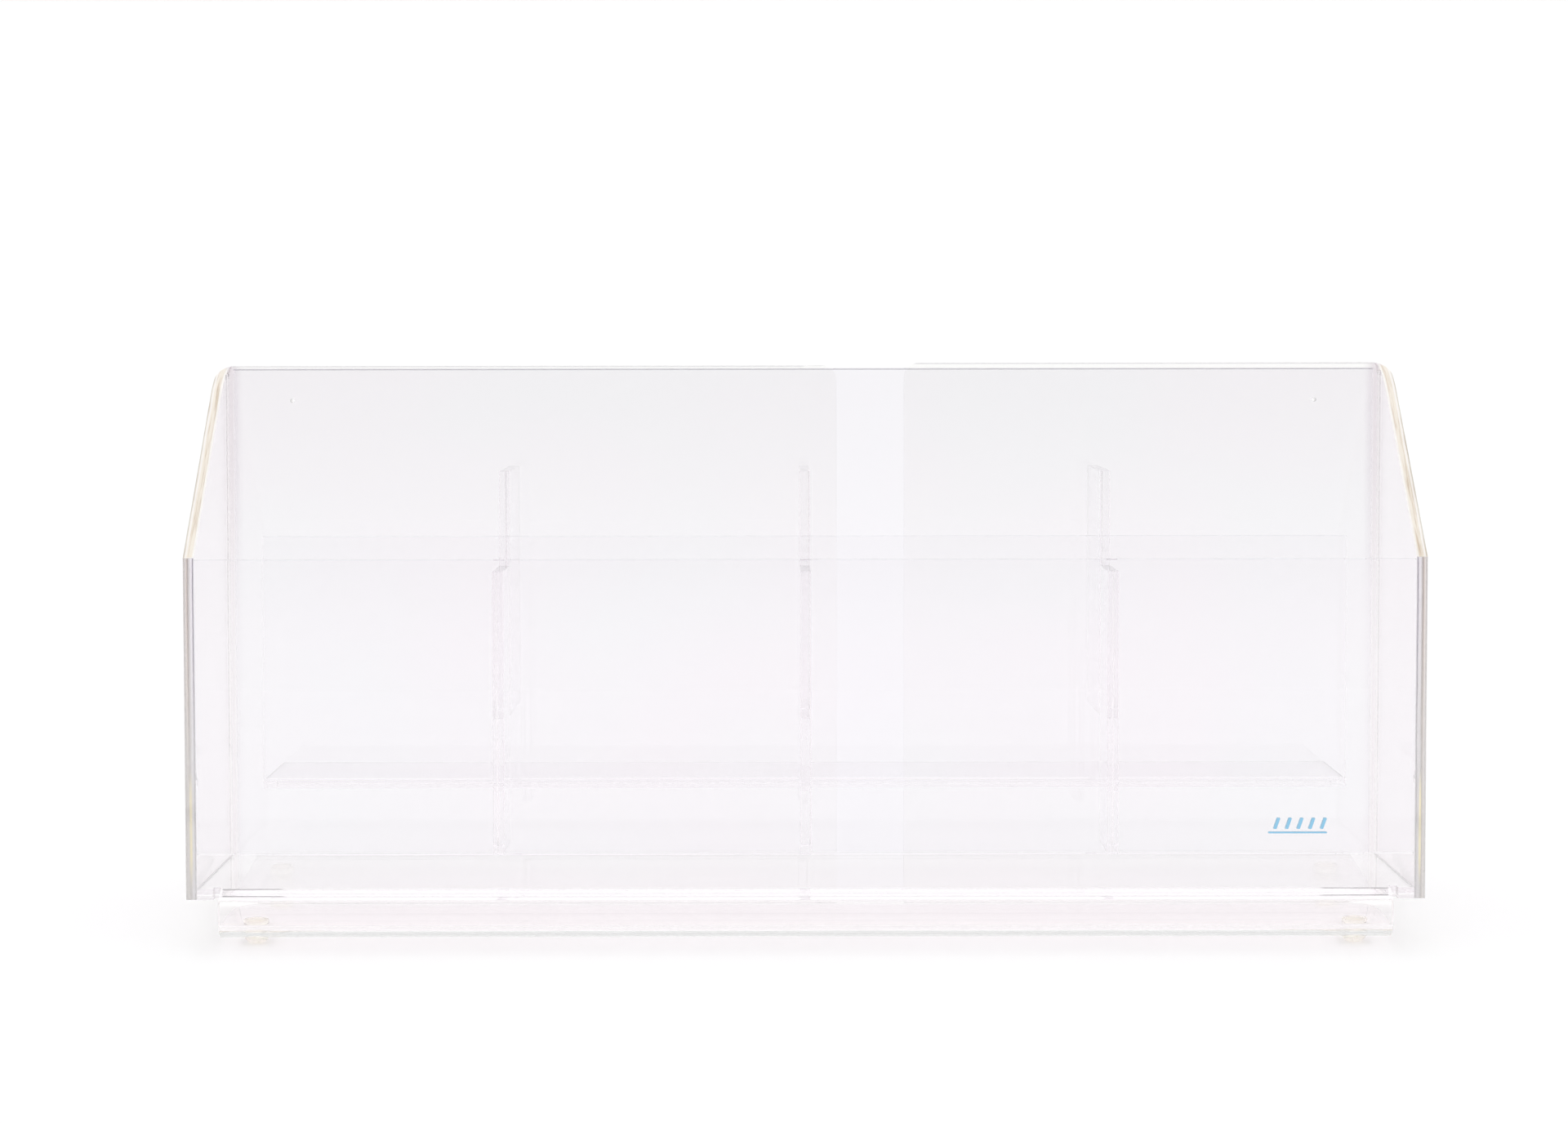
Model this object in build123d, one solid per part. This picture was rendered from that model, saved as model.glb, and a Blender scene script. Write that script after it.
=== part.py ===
from build123d import *
import math
import os

# Counter-top magazine rack: four pockets wide and two tiers deep, cemented from clear cast acrylic sheet.
# The shell (walls, back, floor, panels) leans back on a folded base, whose lower leaf stands on four bumpers.
#
# Part frame: X to the viewer's right, Y from front to back, Z up, millimetres. The origin is on the resting
# surface, under the middle of the rack. The leaning pieces are drawn upright in the shell frame, where Y is
# the depth from the front edges and Z the height above the shell's underside, and are then leaned back.

# ---- driving dimensions -------------------------------------------------------------------------------
WIDTH = 914.0               # over the two side walls
SHEET = 8.0                 # heavy sheet: walls, back, base, dividers
THIN_SHEET = 6.0            # light sheet: front panel, middle panel, rear shelf
LEAN = 5.2                  # degrees that the shell leans back
SEAM = 0.1                  # thickness of a cemented seam
EDGE_BREAK = 0.5            # softened corners along the cut edges

INNER_DEPTH = 199.0         # front edges to the front face of the back panel
FRONT_HEIGHT = 252.0        # front edges of the side walls
BACK_HEIGHT = 389.0         # back panel
LEFT_PROUD = 2.0            # the wings' back flaps stand this much above the back panel
RIGHT_PROUD = 4.0
SLOPE_DEPTH = 180.0         # the side walls' sloping tops would meet the level top here
SLOPE_ROUNDING = 105.0      # and run into it round this radius
TOP_CORNER = 10.0           # rounded corner where the wall's top runs into the flap's, seen from the front
BEND_RADIUS = 3.0           # inside radius of the two vertical bends
FLAP_CORNER = 12.0          # rounded upper inner corner of each back flap
LEFT_FLAP_END = 26.0        # the left wing's flap passes the middle by this much
RIGHT_FLAP_END = 79.0       # the right wing's shorter flap stops here, right of the middle

FRONT_PANEL_BOTTOM = 33.0   # a finger gap is left under the front panel
FRONT_PANEL_TOP = 251.0
MIDDLE_DEPTH = 78.0         # front edges to the front face of the middle panel
INSERT_WIDTH = 818.0        # the middle panel and rear shelf stop short of the side walls
SHELF_TOP = 80.0
MIDDLE_PANEL_TOP = 264.0

DIVIDER_PITCH = 226.5       # middle to middle of the dividers
FRONT_DIVIDER_TOP = 242.0
REAR_DIVIDER_BOTTOM = 128.0
REAR_DIVIDER_TOP = 313.0

BASE_WIDTH = 862.0          # nose and lower leaf of the folded base
RELIEF_WIDTH = 6.0          # notches that free the nose from the wider floor leaf
RELIEF_DEPTH = 10.0
LEAF_DEPTH = 217.0          # lower leaf, from the shell's front edges to its own rear edge

FOOT_RADIUS = 9.5
FOOT_HEIGHT = 9.5
FOOT_RIM = 3.0              # straight part of a foot, above its dome
FOOT_X = 408.0
FOOT_FRONT_Y = 20.0
FOOT_REAR_Y = 172.0

HOLE_X = 400.0              # screw holes near the back's upper corners
HOLE_HEIGHT = 364.0
HOLE_RADIUS = 1.6

# ---- derived dimensions -------------------------------------------------------------------------------
LEAN_RAD = math.radians(LEAN)
INNER_HALF = WIDTH / 2 - SHEET - SEAM
OUTER_DEPTH = INNER_DEPTH + SHEET + SEAM + SHEET
OUTER_BEND = BEND_RADIUS + SHEET
TALLEST = BACK_HEIGHT + RIGHT_PROUD
LEAF_TOP = FOOT_HEIGHT + SHEET
LIFT = OUTER_DEPTH * math.sin(LEAN_RAD) + SEAM      # front underside of the shell above the lower leaf
NOSE_RADIUS = LIFT / (1 + math.cos(LEAN_RAD))       # inside radius of the fold
NOSE_TIP_Y = -NOSE_RADIUS * (1 + math.sin(LEAN_RAD)) - SHEET
BACK_TOP_Y = OUTER_DEPTH * math.cos(LEAN_RAD) + TALLEST * math.sin(LEAN_RAD)
CENTRE_Y = (NOSE_TIP_Y + BACK_TOP_Y) / 2            # depth of the part's origin


def place_shell(shape):
    """Lean a piece of the shell back and set it above the lower leaf."""
    return Pos(0, -CENTRE_Y, LEAF_TOP + LIFT) * Rot(-LEAN, 0, 0) * shape


def sheet(x_limits, y_limits, z_limits):
    """A flat rectangular piece with softened edges."""
    size = (x_limits[1] - x_limits[0], y_limits[1] - y_limits[0], z_limits[1] - z_limits[0])
    box = Box(*size, align=(Align.MIN, Align.MIN, Align.MIN))
    piece = Pos(x_limits[0], y_limits[0], z_limits[0]) * box
    return chamfer(piece.edges(), EDGE_BREAK)


def screw_hole(side, middle_depth):
    """The cutter for one screw hole through the back. side is -1 for left and 1 for right."""
    return Pos(side * HOLE_X, middle_depth, HOLE_HEIGHT) * Rot(90, 0, 0) * Cylinder(HOLE_RADIUS, 3 * SHEET)


def wing(side, flap_end, proud):
    """One side wall bent at the back corner into a flap that ends at x = flap_end."""
    height = BACK_HEIGHT + proud
    outer_x = side * WIDTH / 2
    inner_x = side * (WIDTH / 2 - SHEET)
    flap_front = OUTER_DEPTH - SHEET
    outline = Polyline(
        (outer_x, 0),
        (outer_x, OUTER_DEPTH),
        (flap_end, OUTER_DEPTH),
        (flap_end, flap_front),
        (inner_x, flap_front),
        (inner_x, 0),
        close=True,
    )
    plan = make_face(outline)
    outer_corner = plan.vertices().sort_by_distance((outer_x, OUTER_DEPTH))[0]
    plan = fillet(outer_corner, OUTER_BEND)
    inner_corner = plan.vertices().sort_by_distance((inner_x, flap_front))[0]
    plan = fillet(inner_corner, BEND_RADIUS)
    blank = extrude(plan, height)
    flap_corner = blank.edges().filter_by(Axis.Y).sort_by_distance((flap_end, OUTER_DEPTH, height))[0]
    blank = fillet(flap_corner, FLAP_CORNER)
    # The side wall's top slopes up from the front edge, and levels out round the bend.
    level = 2 * OUTER_DEPTH
    offcut_outline = Polyline(
        (-1, FRONT_HEIGHT),
        (0, FRONT_HEIGHT),
        (SLOPE_DEPTH, height),
        (level, height),
        (level, height + 1),
        (-1, height + 1),
        close=True,
    )
    offcut_face = make_face(offcut_outline)
    slope_end = offcut_face.vertices().sort_by_distance((SLOPE_DEPTH, height))[0]
    blank -= extrude(Plane.YZ * fillet(slope_end, SLOPE_ROUNDING), WIDTH, both=True)
    corner_x = outer_x - side * TOP_CORNER
    corner_middle = TOP_CORNER * math.sqrt(0.5)
    corner_face = make_face(
        [
            ThreePointArc(
                (outer_x, height - TOP_CORNER),
                (corner_x + side * corner_middle, height - TOP_CORNER + corner_middle),
                (corner_x, height),
            ),
            Line((corner_x, height), (corner_x, height + 1)),
            Line((corner_x, height + 1), (outer_x + side, height + 1)),
            Line((outer_x + side, height + 1), (outer_x + side, height - TOP_CORNER)),
            Line((outer_x + side, height - TOP_CORNER), (outer_x, height - TOP_CORNER)),
        ]
    )
    blank -= extrude(Plane.XZ * corner_face, WIDTH, both=True)
    front_face = blank.faces().sort_by(Axis.Y)[0]
    blank = chamfer(front_face.edges().filter_by(Axis.Z), EDGE_BREAK)
    return place_shell(blank - screw_hole(side, OUTER_DEPTH - SHEET / 2))


def back_panel():
    """The wide back sheet between the two bends, cemented to the front of the wings' flaps."""
    half = WIDTH / 2 - OUTER_BEND
    panel = sheet((-half, half), (INNER_DEPTH, INNER_DEPTH + SHEET), (0, BACK_HEIGHT))
    for side in (-1, 1):
        panel -= screw_hole(side, INNER_DEPTH + SHEET / 2)
    return place_shell(panel)


def front_panel():
    """The low front sheet between the side walls, held clear of the floor."""
    height = (FRONT_PANEL_BOTTOM, FRONT_PANEL_TOP)
    return place_shell(sheet((-INNER_HALF, INNER_HALF), (0, THIN_SHEET), height))


def middle_panel():
    """The sheet between the two tiers, standing on the front of the rear shelf."""
    half = INSERT_WIDTH / 2
    depth = (MIDDLE_DEPTH, MIDDLE_DEPTH + THIN_SHEET)
    return place_shell(sheet((-half, half), depth, (SHELF_TOP + SEAM, MIDDLE_PANEL_TOP)))


def rear_shelf():
    """The raised floor of the rear tier, cemented to the back panel."""
    half = INSERT_WIDTH / 2
    depth = (MIDDLE_DEPTH, INNER_DEPTH - SEAM)
    return place_shell(sheet((-half, half), depth, (SHELF_TOP - THIN_SHEET, SHELF_TOP)))


def front_divider(x):
    """A divider between the front panel and the middle panel."""
    depth = (THIN_SHEET + SEAM, MIDDLE_DEPTH - SEAM)
    height = (FRONT_PANEL_BOTTOM, FRONT_DIVIDER_TOP)
    return place_shell(sheet((x - SHEET / 2, x + SHEET / 2), depth, height))


def rear_divider(x):
    """A divider between the middle panel and the back panel, held above the shelf."""
    depth = (MIDDLE_DEPTH + THIN_SHEET + SEAM, INNER_DEPTH - SEAM)
    height = (REAR_DIVIDER_BOTTOM, REAR_DIVIDER_TOP)
    return place_shell(sheet((x - SHEET / 2, x + SHEET / 2), depth, height))


def folded_base():
    """Floor leaf, rounded nose and lower leaf, folded from one sheet."""
    floor = sheet((-INNER_HALF, INNER_HALF), (-SHEET, INNER_DEPTH - SEAM), (0, SHEET))
    # The front edge is left square, so that the nose runs into the leaf without a groove.
    floor -= Pos(0, -SHEET, SHEET / 2) * Box(WIDTH, 2 * SHEET, 2 * SHEET)
    for side in (-1, 1):
        notch_x = side * (BASE_WIDTH + RELIEF_WIDTH) / 2
        floor -= Pos(notch_x, RELIEF_DEPTH / 2, SHEET / 2) * Box(RELIEF_WIDTH, RELIEF_DEPTH, 2 * SHEET)
    # Section through the nose and the lower leaf, in depth and height. The nose is one arc that leaves the
    # lower leaf level and ends square on the front edge of the sloping floor leaf.
    normal = Vector(math.sin(LEAN_RAD), math.cos(LEAN_RAD))
    centre = Vector(-NOSE_RADIUS * math.sin(LEAN_RAD), LEAF_TOP + NOSE_RADIUS)
    inside_top = centre + normal * NOSE_RADIUS
    outside_top = centre + normal * (NOSE_RADIUS + SHEET)
    inside_tip = centre - Vector(NOSE_RADIUS, 0)
    outside_tip = centre - Vector(NOSE_RADIUS + SHEET, 0)
    inside_foot = centre - Vector(0, NOSE_RADIUS)
    outside_foot = centre - Vector(0, NOSE_RADIUS + SHEET)
    section = make_face(
        [
            ThreePointArc(inside_top, inside_tip, inside_foot),
            Line(inside_foot, (LEAF_DEPTH, LEAF_TOP)),
            Line((LEAF_DEPTH, LEAF_TOP), (LEAF_DEPTH, FOOT_HEIGHT)),
            Line((LEAF_DEPTH, FOOT_HEIGHT), outside_foot),
            ThreePointArc(outside_foot, outside_tip, outside_top),
            Line(outside_top, inside_top),
        ]
    )
    fold = extrude(Plane.YZ * section, BASE_WIDTH / 2, both=True)
    return place_shell(floor) + Pos(0, -CENTRE_Y, 0) * fold


def foot(x, y):
    """A domed stick-on bumper under the lower leaf."""
    dome_height = FOOT_HEIGHT - FOOT_RIM
    flat_radius = FOOT_RADIUS - dome_height
    section = make_face(
        [
            Line((0, 0), (flat_radius, 0)),
            RadiusArc((flat_radius, 0), (FOOT_RADIUS, dome_height), -dome_height),
            Line((FOOT_RADIUS, dome_height), (FOOT_RADIUS, FOOT_HEIGHT)),
            Line((FOOT_RADIUS, FOOT_HEIGHT), (0, FOOT_HEIGHT)),
            Line((0, FOOT_HEIGHT), (0, 0)),
        ]
    )
    return Pos(x, y - CENTRE_Y, 0) * revolve(Plane.XZ * section, Axis.Z)


def build_nodes():
    """Every separate piece of the rack, by node name."""
    nodes = {
        "left_wing": wing(-1, LEFT_FLAP_END, LEFT_PROUD),
        "right_wing": wing(1, RIGHT_FLAP_END, RIGHT_PROUD),
        "back_panel": back_panel(),
        "front_panel": front_panel(),
        "middle_panel": middle_panel(),
        "rear_shelf": rear_shelf(),
        "folded_base": folded_base(),
    }
    for place, index in (("left", -1), ("centre", 0), ("right", 1)):
        nodes[f"front_divider_{place}"] = front_divider(index * DIVIDER_PITCH)
        nodes[f"rear_divider_{place}"] = rear_divider(index * DIVIDER_PITCH)
    for place, side in (("left", -1), ("right", 1)):
        nodes[f"foot_front_{place}"] = foot(side * FOOT_X, FOOT_FRONT_Y)
        nodes[f"foot_rear_{place}"] = foot(side * FOOT_X, FOOT_REAR_Y)
    return nodes


os.makedirs("parts", exist_ok=True)
for name, piece in build_nodes().items():
    export_step(piece, f"parts/{name}.step")
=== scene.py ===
import math

import bmesh
import bpy
from mathutils import Matrix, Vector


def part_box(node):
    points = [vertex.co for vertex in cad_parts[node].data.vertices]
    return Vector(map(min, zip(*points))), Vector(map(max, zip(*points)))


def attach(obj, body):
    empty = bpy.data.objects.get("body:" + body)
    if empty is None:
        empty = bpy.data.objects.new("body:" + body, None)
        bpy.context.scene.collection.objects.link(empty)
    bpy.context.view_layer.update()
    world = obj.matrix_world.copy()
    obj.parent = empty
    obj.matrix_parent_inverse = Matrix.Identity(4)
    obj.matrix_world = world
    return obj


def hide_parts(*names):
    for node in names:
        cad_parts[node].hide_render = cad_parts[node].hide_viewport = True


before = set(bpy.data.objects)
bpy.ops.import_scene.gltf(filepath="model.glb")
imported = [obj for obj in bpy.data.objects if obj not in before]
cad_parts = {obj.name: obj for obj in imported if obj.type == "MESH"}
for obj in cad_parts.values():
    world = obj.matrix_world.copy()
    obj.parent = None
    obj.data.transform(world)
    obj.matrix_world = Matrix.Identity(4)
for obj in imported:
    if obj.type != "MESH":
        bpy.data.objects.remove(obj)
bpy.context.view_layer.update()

# The looks of a clear acrylic magazine rack. Metres, in the CAD model's frame: X to the right, Y to the back,
# Z up. The shell leans back by LEAN, so masks and marks are worked out in the shell's own upright frame.

LEAN = math.radians(5.2)
SHEET = 0.008
SHELL_ORIGIN = (0.0, -0.11556, 0.037095)     # the shell frame's origin, under the front edges
WALL_OUTER = 0.457          # half the width over the side walls
WALL_INNER = WALL_OUTER - SHEET
FLAP_DEPTH = 0.204          # the bends begin here and run into the back flaps
FLAP_TOP_LEFT, FLAP_TOP_RIGHT = 0.391, 0.393
REAR_EDGES = 0.15           # cut edges deeper than this are the rear ones
SLOPE_FOOT = 0.2            # edges above this height are the walls' scraped slopes
MARK_X, MARK_HEIGHT = 0.365, 0.055
MARK_HALF = 0.0215          # half the printed mark's width
MARK_BARS = 5
MARK_STEP = 2 * MARK_HALF / MARK_BARS
MARK_BLUR = 0.0002
ACRYLIC_IOR = 1.49
RUBBER_IOR = 1.48
HORIZON_LIGHT = 1.0
OVERHEAD_LIGHT = 1.28
STUDIO_DARK = 0.45          # how bright the unlit studio behind the camera is left
FLOOR_HALF = 80.0


# ---- small node helpers ---------------------------------------------------------------------------------
class Tree:
    """A material's node tree, with one short method for each kind of node used here."""

    def __init__(self, name):
        self.material = bpy.data.materials.new(name)
        self.material.use_nodes = True
        self.tree = self.material.node_tree
        self.tree.nodes.clear()
        self.shader = self.node("ShaderNodeBsdfPrincipled")
        self.output = self.node("ShaderNodeOutputMaterial")
        self.link(self.shader.outputs[0], self.output.inputs["Surface"])

    def node(self, kind, **settings):
        made = self.tree.nodes.new(kind)
        for key, value in settings.items():
            setattr(made, key, value)
        return made

    def link(self, source, target):
        self.tree.links.new(source, target)

    def feed(self, target, value):
        """Give a socket a number, a tuple, or another node's output."""
        if isinstance(value, (int, float, tuple)):
            target.default_value = value
        else:
            self.link(value, target)

    def math(self, operation, a, b=0.0):
        made = self.node("ShaderNodeMath", operation=operation)
        for socket, value in zip(made.inputs, (a, b)):
            self.feed(socket, value)
        return made.outputs[0]

    def times(self, first, *others):
        """The product of all these."""
        for other in others:
            first = self.math("MULTIPLY", first, other)
        return first

    def inverse(self, value):
        return self.math("SUBTRACT", 1.0, value)

    def between(self, value, low, high, soft):
        """1 where value lies between low and high, falling to 0 over soft."""
        rise = self.ramp_value(value, low - soft, low + soft)
        fall = self.ramp_value(value, high - soft, high + soft)
        return self.times(rise, self.inverse(fall))

    def ramp_value(self, value, low, high, to_low=0.0, to_high=1.0):
        """A smooth step from to_low at low to to_high at high."""
        made = self.node("ShaderNodeMapRange", clamp=True, interpolation_type="SMOOTHSTEP")
        self.feed(made.inputs["Value"], value)
        for key, number in (("From Min", low), ("From Max", high), ("To Min", to_low), ("To Max", to_high)):
            made.inputs[key].default_value = number
        return made.outputs["Result"]

    def mix(self, factor, a, b):
        made = self.node("ShaderNodeMix", data_type="RGBA")
        self.feed(made.inputs["Factor"], factor)
        self.feed(made.inputs["A"], a)
        self.feed(made.inputs["B"], b)
        return made.outputs["Result"]

    def scaled(self, vector, scale):
        made = self.node("ShaderNodeVectorMath", operation="MULTIPLY")
        self.feed(made.inputs[0], vector)
        made.inputs[1].default_value = scale
        return made.outputs["Vector"]

    def noise(self, vector, scale, detail=3.0, roughness=0.5):
        made = self.node("ShaderNodeTexNoise")
        self.feed(made.inputs["Vector"], vector)
        made.inputs["Scale"].default_value = scale
        made.inputs["Detail"].default_value = detail
        made.inputs["Roughness"].default_value = roughness
        return made.outputs["Fac"]

    def shell_space(self, output):
        """The x, depth and height parts of a Geometry output, in the leaning shell's own frame."""
        geometry = self.node("ShaderNodeNewGeometry")
        vector = geometry.outputs[output]
        if output == "Position":
            placed = self.node("ShaderNodeVectorMath", operation="SUBTRACT")
            self.link(vector, placed.inputs[0])
            placed.inputs[1].default_value = SHELL_ORIGIN
            vector = placed.outputs["Vector"]
        made = []
        for axis in ((1, 0, 0), (0, math.cos(LEAN), -math.sin(LEAN)), (0, math.sin(LEAN), math.cos(LEAN))):
            dot = self.node("ShaderNodeVectorMath", operation="DOT_PRODUCT")
            self.link(vector, dot.inputs[0])
            dot.inputs[1].default_value = axis
            made.append(dot.outputs["Value"])
        return made


# ---- materials ------------------------------------------------------------------------------------------
# What one pass through a sheet leaves of white light, on its faces and at its cut edges.
HEAVY = (0.936, 0.925, 0.953)       # the back panel
FLAP = (0.998, 0.995, 0.986)        # the wings, where they run behind the back panel
# The side walls' tint, darker than the flaps' of the same sheet, is painted shade.
WALL_PAINTED_SHADE = (0.940, 0.908, 0.928)        # the wings' side walls
DIVIDER = (0.980, 0.973, 0.985)
SHELF = (0.972, 0.958, 0.972)
LIGHT = (0.994, 0.990, 0.995)       # the front and middle panels
BASE = (0.998, 0.988, 0.990)
WARM_SHIFT = (1.0, 0.996, 0.998)
COOL_SHIFT = (0.996, 0.999, 0.998)
CLEAR_EDGE = (0.985, 0.977, 0.983)
SAWN_EDGE = (0.93, 0.91, 0.93)
# Painted shade: the dark tint of the back panel's and dividers' top and bottom edges.
DARK_EDGE_PAINTED_SHADE = (0.78, 0.76, 0.79)
BASE_EDGE = (0.58, 0.61, 0.59)
# Painted light: the floor leaf's lighter edge tint.
FLOOR_EDGE_PAINTED_LIGHT = (0.955, 0.925, 0.935)
# Painted shade lines along the panels' and flaps' tops.
RIM_PAINTED_SHADE = (0.58, 0.57, 0.61, 1.0)
FAINT_RIM_PAINTED_SHADE = (0.91, 0.91, 0.93, 1.0)
# The scraped slopes' colours: painted light and shade.
IVORY = (0.83, 0.77, 0.66, 1.0)
IVORY_STREAK = (0.50, 0.38, 0.25, 1.0)
IVORY_PAINTED_HIGHLIGHT = (0.93, 0.92, 0.90, 1.0)
IVORY_PAINTED_SHADE = (0.42, 0.40, 0.37, 1.0)
BEND_SHADE = (0.78, 0.73, 0.76, 1.0)
WALL_FOOT = (0.52, 0.52, 0.49, 1.0)
# A painted glint, low on the side walls' front edges.
GOLD_PAINTED_GLINT = (0.95, 0.82, 0.42, 1.0)
INK = (0.26, 0.56, 0.78, 1.0)
DUST = (0.45, 0.44, 0.46, 1.0)
RUBBER = (0.97, 0.95, 0.88, 1.0)
PALE_FLOOR = (0.888, 0.888, 0.888, 1.0)

# Painted light and shade across a side wall's polished front edge, from its outer face inwards: millimetres and
# colour.
WALL_FRONT_PAINTED_BANDS = (
    (0.0, (0.62, 0.60, 0.58)),
    (0.9, (0.30, 0.27, 0.25)),
    (1.8, (0.74, 0.68, 0.64)),
    (2.7, (0.46, 0.37, 0.30)),
    (3.4, (0.20, 0.16, 0.15)),
    (4.2, (0.48, 0.44, 0.42)),
    (5.4, (0.72, 0.69, 0.71)),
    (6.5, (0.76, 0.72, 0.77)),
    (7.0, (0.07, 0.06, 0.08)),
    (7.5, (0.30, 0.28, 0.34)),
    (8.0, (0.78, 0.76, 0.80)),
)

# The painted shade line along a panel's top edge: the panel's top, the line's depth below it, and its colour.
TOP_SHADE_LINES = {
    "back_panel": (0.389, 0.0016, RIM_PAINTED_SHADE),
    "front_panel": (0.251, 0.0010, FAINT_RIM_PAINTED_SHADE),
    "middle_panel": (0.264, 0.0010, FAINT_RIM_PAINTED_SHADE),
}


def facing(t, normal):
    """1 where a face looks along this axis, from the size of that part of its normal."""
    return t.ramp_value(normal, 0.5, 0.6)


def facing_up(t, normals):
    """1 on the top and bottom edges."""
    return t.ramp_value(normals[2], 0.3, 0.4)


def cut_edges(t, kind, normals, x, depth):
    """1 on the saw-cut edges of a sheet and 0 on its polished faces."""
    if kind in "XYZ":
        return t.inverse(facing(t, normals["XYZ".index(kind)]))
    behind = t.ramp_value(depth, REAR_EDGES, REAR_EDGES + 0.01)
    if kind == "base":
        # The nose's faces turn from level to upright, so only its ends and the rear edges are cut.
        return t.math("MAXIMUM", t.times(behind, facing(t, normals[1])), facing(t, normals[0]))
    # A wing's faces look sideways on the wall and backwards on the flap, and turn in the bend between them.
    wall = t.ramp_value(t.math("ABSOLUTE", x), WALL_INNER - 0.006, WALL_INNER - 0.004)
    front = t.times(wall, facing(t, normals[1]), t.inverse(behind))
    flap_end = t.times(t.inverse(wall), facing(t, normals[0]))
    return t.math("MAXIMUM", facing_up(t, normals), t.math("MAXIMUM", front, flap_end))


def acrylic(name, kind, face_tint, edge_tint, top_tint):
    """Clear cast sheet. kind is the shell axis that the polished faces look along, or wing, or base."""
    t = Tree(name)
    position = t.node("ShaderNodeNewGeometry").outputs["Position"]
    x, depth, height = t.shell_space("Position")
    signed = t.shell_space("True Normal")
    normals = [t.math("ABSOLUTE", part) for part in signed]
    edge = cut_edges(t, kind, normals, x, depth)
    top = t.times(edge, facing_up(t, normals))

    if kind == "base":
        # The lower leaf's rear edge and the nose's ends are sawn and left dull; the floor leaf's edges are
        # cemented, and their lighter tint is painted light.
        lower = t.ramp_value(height, -0.002, 0.0, 1.0, 0.0)
        colour = t.mix(edge, (*face_tint, 1.0), t.mix(lower, (*FLOOR_EDGE_PAINTED_LIGHT, 1.0), (*edge_tint, 1.0)))
    else:
        # Cast sheet is never quite one colour: slow clouds of warmer and cooler tint.
        clouds = t.noise(t.scaled(position, (1.0, 1.0, 1.6)), 5.0, 1.0)
        warm = (*(channel * shift for channel, shift in zip(face_tint, WARM_SHIFT)), 1.0)
        cool = (*(channel * shift for channel, shift in zip(face_tint, COOL_SHIFT)), 1.0)
        face = t.mix(t.ramp_value(clouds, 0.35, 0.65), warm, cool)
        colour = t.mix(edge, face, (*edge_tint, 1.0))
        # Top and bottom edges get top_tint, painted shade on the back panel and dividers.
        colour = t.mix(top, colour, (*top_tint, 1.0))

    # Faces: faint smears and a few dust specks. Edges: duller, more so where the scraper chattered.
    smears = t.ramp_value(t.noise(position, 14.0, 5.0, 0.65), 0.5, 0.8, 0.0, 0.012)
    chatter = t.ramp_value(t.noise(position, 60.0, 2.0), 0.3, 0.7, 0.03, 0.08)
    roughness = t.math("ADD", smears, t.times(edge, chatter))
    dust = t.node("ShaderNodeTexVoronoi")
    t.link(position, dust.inputs["Vector"])
    dust.inputs["Scale"].default_value = 8.0
    speck = t.ramp_value(dust.outputs["Distance"], 0.006, 0.009, 1.0, 0.0)
    colour = t.mix(t.times(speck, 0.35), colour, DUST)

    transmission = 1.0
    if kind == "wing":
        colour, transmission, roughness = wall_edges(t, position, x, depth, height, edge, colour, roughness)
    # A painted shade line along some panels' top edges.
    for panel, (panel_top, line, rim_shade_colour) in TOP_SHADE_LINES.items():
        if name.endswith(panel):
            rim_shade = t.ramp_value(height, panel_top - line, panel_top - 0.6 * line)
            colour = t.mix(rim_shade, colour, rim_shade_colour)
    if name.endswith("front_panel"):
        ink = printed_mark(t, x, height, signed[1])
        colour = t.mix(ink, colour, INK)
        transmission = t.inverse(ink)
    t.feed(t.shader.inputs["Base Color"], colour)
    t.feed(t.shader.inputs["Roughness"], roughness)
    t.feed(t.shader.inputs["IOR"], ACRYLIC_IOR)
    t.feed(t.shader.inputs["Transmission Weight"], transmission)
    return t.material


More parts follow.
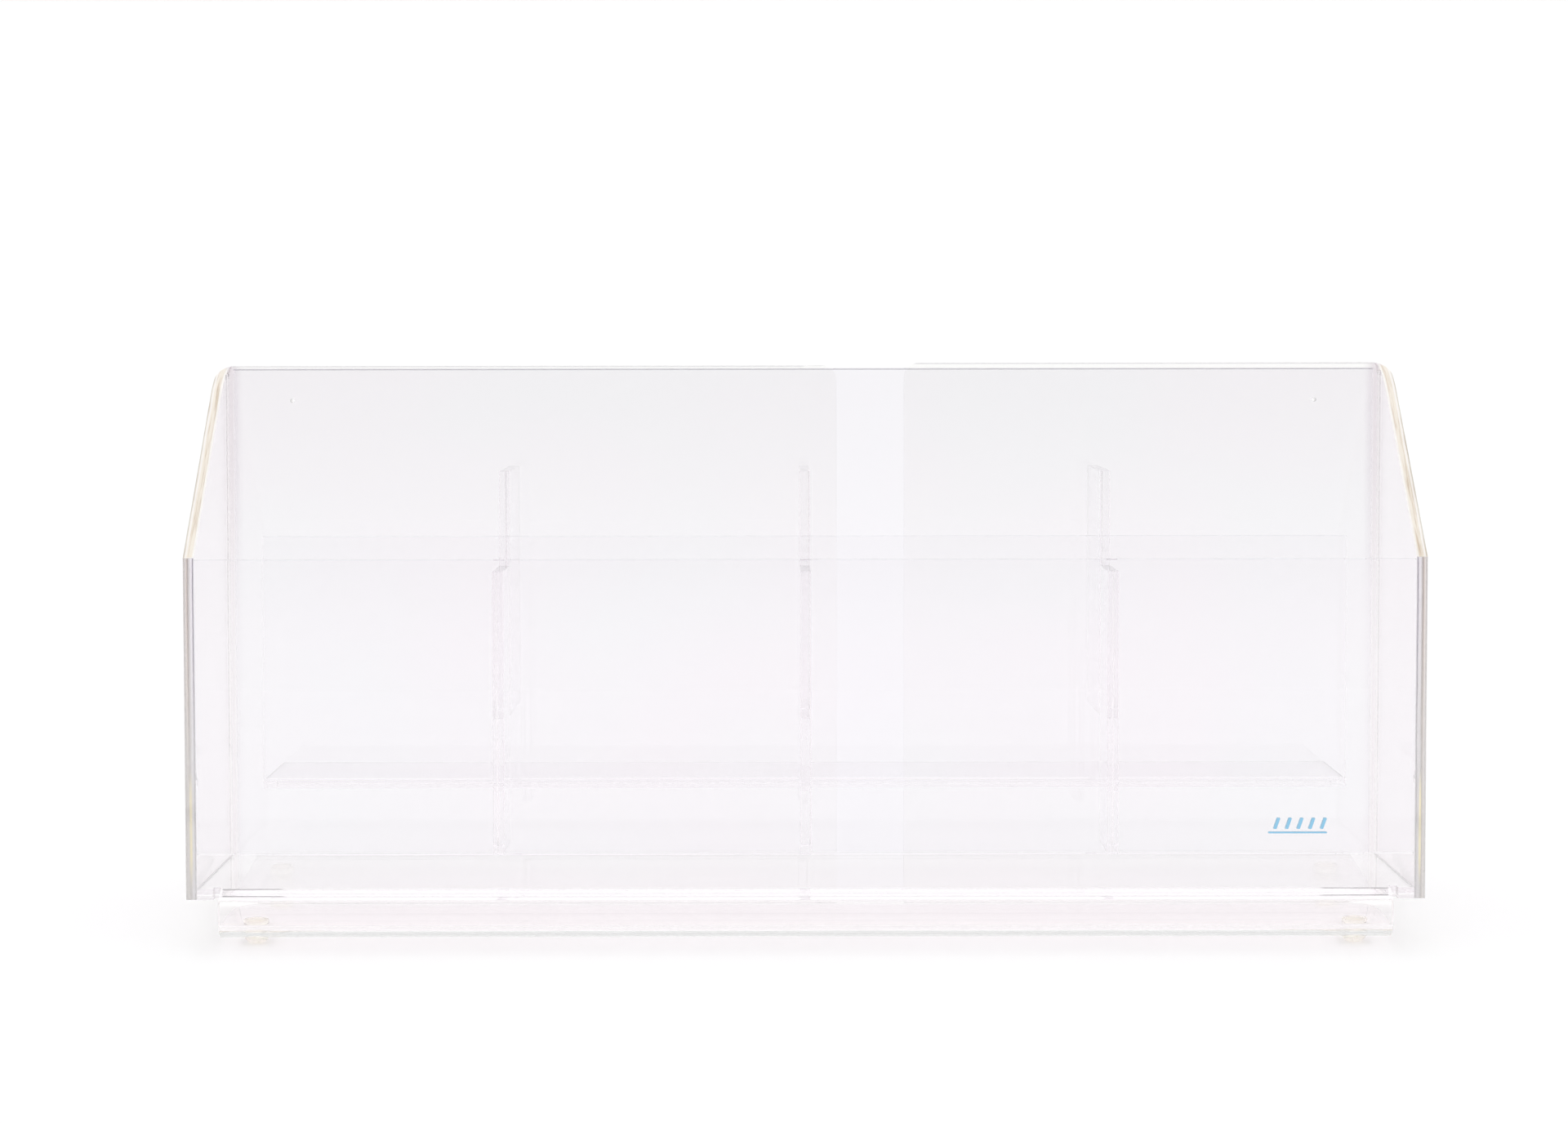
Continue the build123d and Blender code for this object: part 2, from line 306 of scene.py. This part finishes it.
def wall_edges(t, position, x, depth, height, edge, colour, roughness):
    """The side walls' looks: a wall tint darker than the flaps', ivory scraped slopes, banded polished fronts
    with a gold glint, dark flap tops and darker bends, all painted light and shade apart from the slopes' matt
    finish.
    """
    inward = t.math("SUBTRACT", WALL_OUTER, t.math("ABSOLUTE", x))
    wall = t.ramp_value(inward, SHEET, SHEET + 0.001, 1.0, 0.0)
    # A darker tint on the side walls than on the flaps: painted shade.
    colour = t.mix(t.times(wall, t.inverse(edge)), colour, (*WALL_PAINTED_SHADE, 1.0))
    front = t.times(edge, wall, t.ramp_value(depth, 0.0015, 0.003, 1.0, 0.0))
    slope = t.times(edge, wall, t.ramp_value(depth, 0.0, 0.001),
                    t.ramp_value(height, SLOPE_FOOT, SLOPE_FOOT + 0.01))

    # Painted light and shade: the bands run down the polished front edges, wander a little, and fade towards
    # the foot.
    wander = t.noise(t.scaled(position, (0.0, 0.0, 9.0)), 1.0, 1.0)
    across = t.times(inward, 1000.0)
    across = t.math("ADD", across, t.ramp_value(wander, 0.3, 0.7, -0.15, 0.15))
    painted_bands = t.node("ShaderNodeValToRGB")
    t.link(t.math("DIVIDE", across, WALL_FRONT_PAINTED_BANDS[-1][0]), painted_bands.inputs["Fac"])
    ramp = painted_bands.color_ramp
    while len(ramp.elements) < len(WALL_FRONT_PAINTED_BANDS):
        ramp.elements.new(1.0)
    for element, (place, stripe) in zip(ramp.elements, WALL_FRONT_PAINTED_BANDS):
        element.position = place / WALL_FRONT_PAINTED_BANDS[-1][0]
        element.color = (*stripe, 1.0)
    faded = t.ramp_value(height, 0.06, 0.22, 0.6, 0.0)
    front_painted_light = t.mix(faded, painted_bands.outputs["Color"], WALL_FOOT)
    # A painted gold glint low on the front edges.
    glint = t.times(t.between(height, 0.020, 0.085, 0.014), t.between(across, 3.5, 5.0, 0.3))
    front_painted_light = t.mix(glint, front_painted_light, GOLD_PAINTED_GLINT)
    colour = t.mix(front, colour, front_painted_light)

    # The slopes are scraped matt; their ivory with brown streaks, two pale lines and a dark outer line is
    # painted light and shade.
    streaks = t.noise(t.scaled(position, (520.0, 22.0, 16.0)), 1.0, 3.0, 0.6)
    ivory = t.mix(t.ramp_value(streaks, 0.44, 0.72), IVORY, IVORY_STREAK)
    pale_highlight = t.math("MAXIMUM", t.between(across, 1.2, 2.4, 0.5), t.between(across, 6.6, 8.2, 0.5))
    ivory = t.mix(t.times(pale_highlight, 0.75), ivory, IVORY_PAINTED_HIGHLIGHT)
    ivory = t.mix(t.times(t.ramp_value(across, 0.5, 1.1, 1.0, 0.0), 0.6), ivory, IVORY_PAINTED_SHADE)
    colour = t.mix(slope, colour, ivory)

    # Painted shade: a thin dark line along the flaps' tops, and darker bends, most of all high up.
    flap_top = t.ramp_value(x, 0.0, 0.001, FLAP_TOP_LEFT, FLAP_TOP_RIGHT)
    rim_shade = t.ramp_value(t.math("SUBTRACT", flap_top, height), 0.0008, 0.0014, 1.0, 0.0)
    colour = t.mix(t.times(t.inverse(wall), rim_shade, 0.45), colour, RIM_PAINTED_SHADE)
    bend = t.times(t.ramp_value(depth, FLAP_DEPTH - 0.014, FLAP_DEPTH),
                   t.ramp_value(inward, 0.006, 0.018, 1.0, 0.0))
    high = t.ramp_value(height, 0.16, 0.36, 0.35, 1.0)
    colour = t.mix(t.times(bend, high), colour, BEND_SHADE)

    transmission = t.inverse(t.times(slope, 0.6))
    roughness = t.math("ADD", roughness, t.times(slope, 0.3))
    return colour, transmission, roughness


def printed_mark(t, x, height, normal_y):
    """A generic printed mark on the front panel's front face: slanting bars over a thin rule."""
    slant = t.times(t.math("SUBTRACT", height, MARK_HEIGHT), -0.35)
    along = t.math("ADD", t.math("SUBTRACT", x, MARK_X), slant)
    inside = t.between(along, -MARK_HALF, MARK_HALF, MARK_BLUR)
    step = t.math("FRACT", t.math("DIVIDE", t.math("ADD", along, MARK_HALF), MARK_STEP))
    bars = t.times(t.between(step, 0.30, 0.56, 0.03),
                   t.between(height, MARK_HEIGHT - 0.0035, MARK_HEIGHT + 0.0045, MARK_BLUR))
    rule = t.between(height, MARK_HEIGHT - 0.0068, MARK_HEIGHT - 0.0058, MARK_BLUR)
    return t.times(inside, t.math("MAXIMUM", bars, rule), t.ramp_value(normal_y, -0.9, -0.8, 1.0, 0.0))


def rubber():
    """Clear polyurethane of the stick-on bumpers."""
    t = Tree("clear_polyurethane")
    position = t.node("ShaderNodeNewGeometry").outputs["Position"]
    t.shader.inputs["Base Color"].default_value = RUBBER
    t.link(t.ramp_value(t.noise(position, 400.0), 0.3, 0.7, 0.02, 0.06), t.shader.inputs["Roughness"])
    t.shader.inputs["IOR"].default_value = RUBBER_IOR
    t.shader.inputs["Transmission Weight"].default_value = 0.97
    return t.material


def floor_material():
    t = Tree("pale_floor")
    t.shader.inputs["Base Color"].default_value = PALE_FLOOR
    t.shader.inputs["Roughness"].default_value = 0.6
    return t.material


def give(node, material):
    """Put one material in every slot of a CAD node's object."""
    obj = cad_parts[node]
    for slot in obj.material_slots:
        slot.material = material


# How each sheet is made up: its kind, and the tints of its faces, its edges and its top and bottom edges; the
# dark top and bottom tint is painted shade.
SHEETS = {
    "left_wing": ("wing", FLAP, CLEAR_EDGE, SAWN_EDGE),
    "right_wing": ("wing", FLAP, CLEAR_EDGE, SAWN_EDGE),
    "back_panel": ("Y", HEAVY, CLEAR_EDGE, DARK_EDGE_PAINTED_SHADE),
    "front_panel": ("Y", LIGHT, CLEAR_EDGE, SAWN_EDGE),
    "middle_panel": ("Y", LIGHT, CLEAR_EDGE, SAWN_EDGE),
    "rear_shelf": ("Z", SHELF, CLEAR_EDGE, CLEAR_EDGE),
    "folded_base": ("base", BASE, BASE_EDGE, BASE_EDGE),
    "front_divider": ("X", DIVIDER, CLEAR_EDGE, DARK_EDGE_PAINTED_SHADE),
    "rear_divider": ("X", DIVIDER, CLEAR_EDGE, DARK_EDGE_PAINTED_SHADE),
}


def dress_sheets():
    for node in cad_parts:
        for start, look in SHEETS.items():
            if node.startswith(start):
                give(node, acrylic("acrylic_" + node, *look))


# ---- bumpers --------------------------------------------------------------------------------------------
BUMPER_STEPS = 10
BUMPER_SIDES = 48
BUMPER_RIM = 0.003          # straight part above the dome
BUMPER_BREAK = 0.0004       # softened upper corner
CONTACT = 0.00004           # the glued faces overlap this much, as glue leaves no air between them


def bumper(node, material):
    """A turned bumper in place of the CAD one, let into the glue under the lower leaf."""
    low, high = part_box(node)
    centre = (low + high) / 2
    radius = (high.x - low.x) / 2
    height = high.z - low.z
    dome = height - BUMPER_RIM
    profile = [(0.0, 0.0), (radius - dome, 0.0)]
    for step in range(1, BUMPER_STEPS + 1):
        angle = math.pi / 2 * step / BUMPER_STEPS
        profile.append((radius - dome + dome * math.sin(angle), dome - dome * math.cos(angle)))
    profile += [
        (radius, height - BUMPER_BREAK),
        (radius - BUMPER_BREAK, height + CONTACT),
        (0.0, height + CONTACT),
    ]
    mesh = bmesh.new()
    rings = []
    for ring_radius, z in profile:
        if ring_radius == 0.0:
            rings.append([mesh.verts.new((0, 0, z))] * BUMPER_SIDES)
            continue
        turns = [2 * math.pi * side / BUMPER_SIDES for side in range(BUMPER_SIDES)]
        rings.append([mesh.verts.new((ring_radius * math.cos(a), ring_radius * math.sin(a), z)) for a in turns])
    for lower, upper in zip(rings, rings[1:]):
        for side in range(BUMPER_SIDES):
            after = (side + 1) % BUMPER_SIDES
            corners = [lower[side], lower[after], upper[after], upper[side]]
            mesh.faces.new([v for i, v in enumerate(corners) if v not in corners[:i]])
    mesh.normal_update()
    data = bpy.data.meshes.new(node + "_turned")
    mesh.to_mesh(data)
    mesh.free()
    for polygon in data.polygons:
        polygon.use_smooth = abs(polygon.normal.z) < 0.9999
    data.materials.append(material)
    piece = bpy.data.objects.new(node + "_turned", data)
    piece.location = (centre.x, centre.y, low.z)
    bpy.context.scene.collection.objects.link(piece)
    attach(piece, "root")
    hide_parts(node)


def make_bumpers():
    material = rubber()
    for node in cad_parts:
        if node.startswith("foot"):
            bumper(node, material)


# ---- stage, light and camera ----------------------------------------------------------------------------
def make_floor():
    mesh = bpy.data.meshes.new("floor")
    corners = [(x * FLOOR_HALF, y * FLOOR_HALF, 0) for x, y in ((-1, -1), (1, -1), (1, 1), (-1, 1))]
    mesh.from_pydata(corners, [], [(0, 1, 2, 3)])
    floor = bpy.data.objects.new("floor", mesh)
    floor.data.materials.append(floor_material())
    bpy.context.scene.collection.objects.link(floor)


def make_world():
    """Soft white light all round, brighter overhead, with the unlit side of the studio as a grey patch."""
    world = bpy.data.worlds.new("studio")
    bpy.context.scene.world = world
    world.use_nodes = True
    nodes, links = world.node_tree.nodes, world.node_tree.links
    background = nodes["Background"]
    background.inputs["Color"].default_value = (1.0, 1.0, 1.0, 1.0)
    direction = nodes.new("ShaderNodeTexCoord")
    split = nodes.new("ShaderNodeSeparateXYZ")
    links.new(direction.outputs["Generated"], split.inputs[0])

    def ramp(axis, start, end, low=0.0, high=1.0):
        made = nodes.new("ShaderNodeMapRange")
        made.interpolation_type = "SMOOTHSTEP"
        links.new(split.outputs[axis], made.inputs["Value"])
        for key, number in (("From Min", start), ("From Max", end), ("To Min", low), ("To Max", high)):
            made.inputs[key].default_value = number
        return made.outputs["Result"]

    def times(a, b):
        made = nodes.new("ShaderNodeMath")
        made.operation = "MULTIPLY"
        links.new(a, made.inputs[0])
        links.new(b, made.inputs[1])
        return made.outputs[0]

    # The grey patch lies to the front, from the horizon to about 14 degrees above it, with soft sides.
    low_band = times(ramp("Z", 0.0, 0.09), ramp("Z", 0.12, 0.25, 1.0, 0.0))
    patch = times(low_band, ramp("Y", -0.97, -0.75, 1.0, 0.0))
    dim = nodes.new("ShaderNodeMapRange")
    links.new(patch, dim.inputs["Value"])
    dim.inputs["To Min"].default_value = 1.0
    dim.inputs["To Max"].default_value = STUDIO_DARK
    links.new(times(ramp("Z", 0.35, 0.9, HORIZON_LIGHT, OVERHEAD_LIGHT), dim.outputs["Result"]),
              background.inputs["Strength"])


def make_camera():
    data = bpy.data.cameras.new("camera")
    camera = bpy.data.objects.new("camera", data)
    bpy.context.scene.collection.objects.link(camera)
    data.sensor_width = 36.0
    data.lens = 90.0
    data.clip_start, data.clip_end = 0.05, 400.0
    camera.location = (-0.0215, -2.937, 0.718)
    tilt, turn, roll = math.radians(8.646), math.radians(0.116), math.radians(-0.056)
    aim = Matrix.Rotation(-turn, 4, "Z") @ Matrix.Rotation(math.pi / 2 - tilt, 4, "X")
    camera.matrix_world = Matrix.Translation(camera.location) @ aim @ Matrix.Rotation(roll, 4, "Z")
    bpy.context.scene.camera = camera


def set_scene():
    scene = bpy.context.scene
    scene.view_settings.view_transform = "Standard"
    scene.cycles.blur_glossy = 0.0
    scene.cycles.max_bounces = 128
    scene.cycles.transmission_bounces = 128
    scene.cycles.glossy_bounces = 128
    scene.cycles.transparent_max_bounces = 24


make_camera()
dress_sheets()
make_bumpers()
make_floor()
make_world()
set_scene()
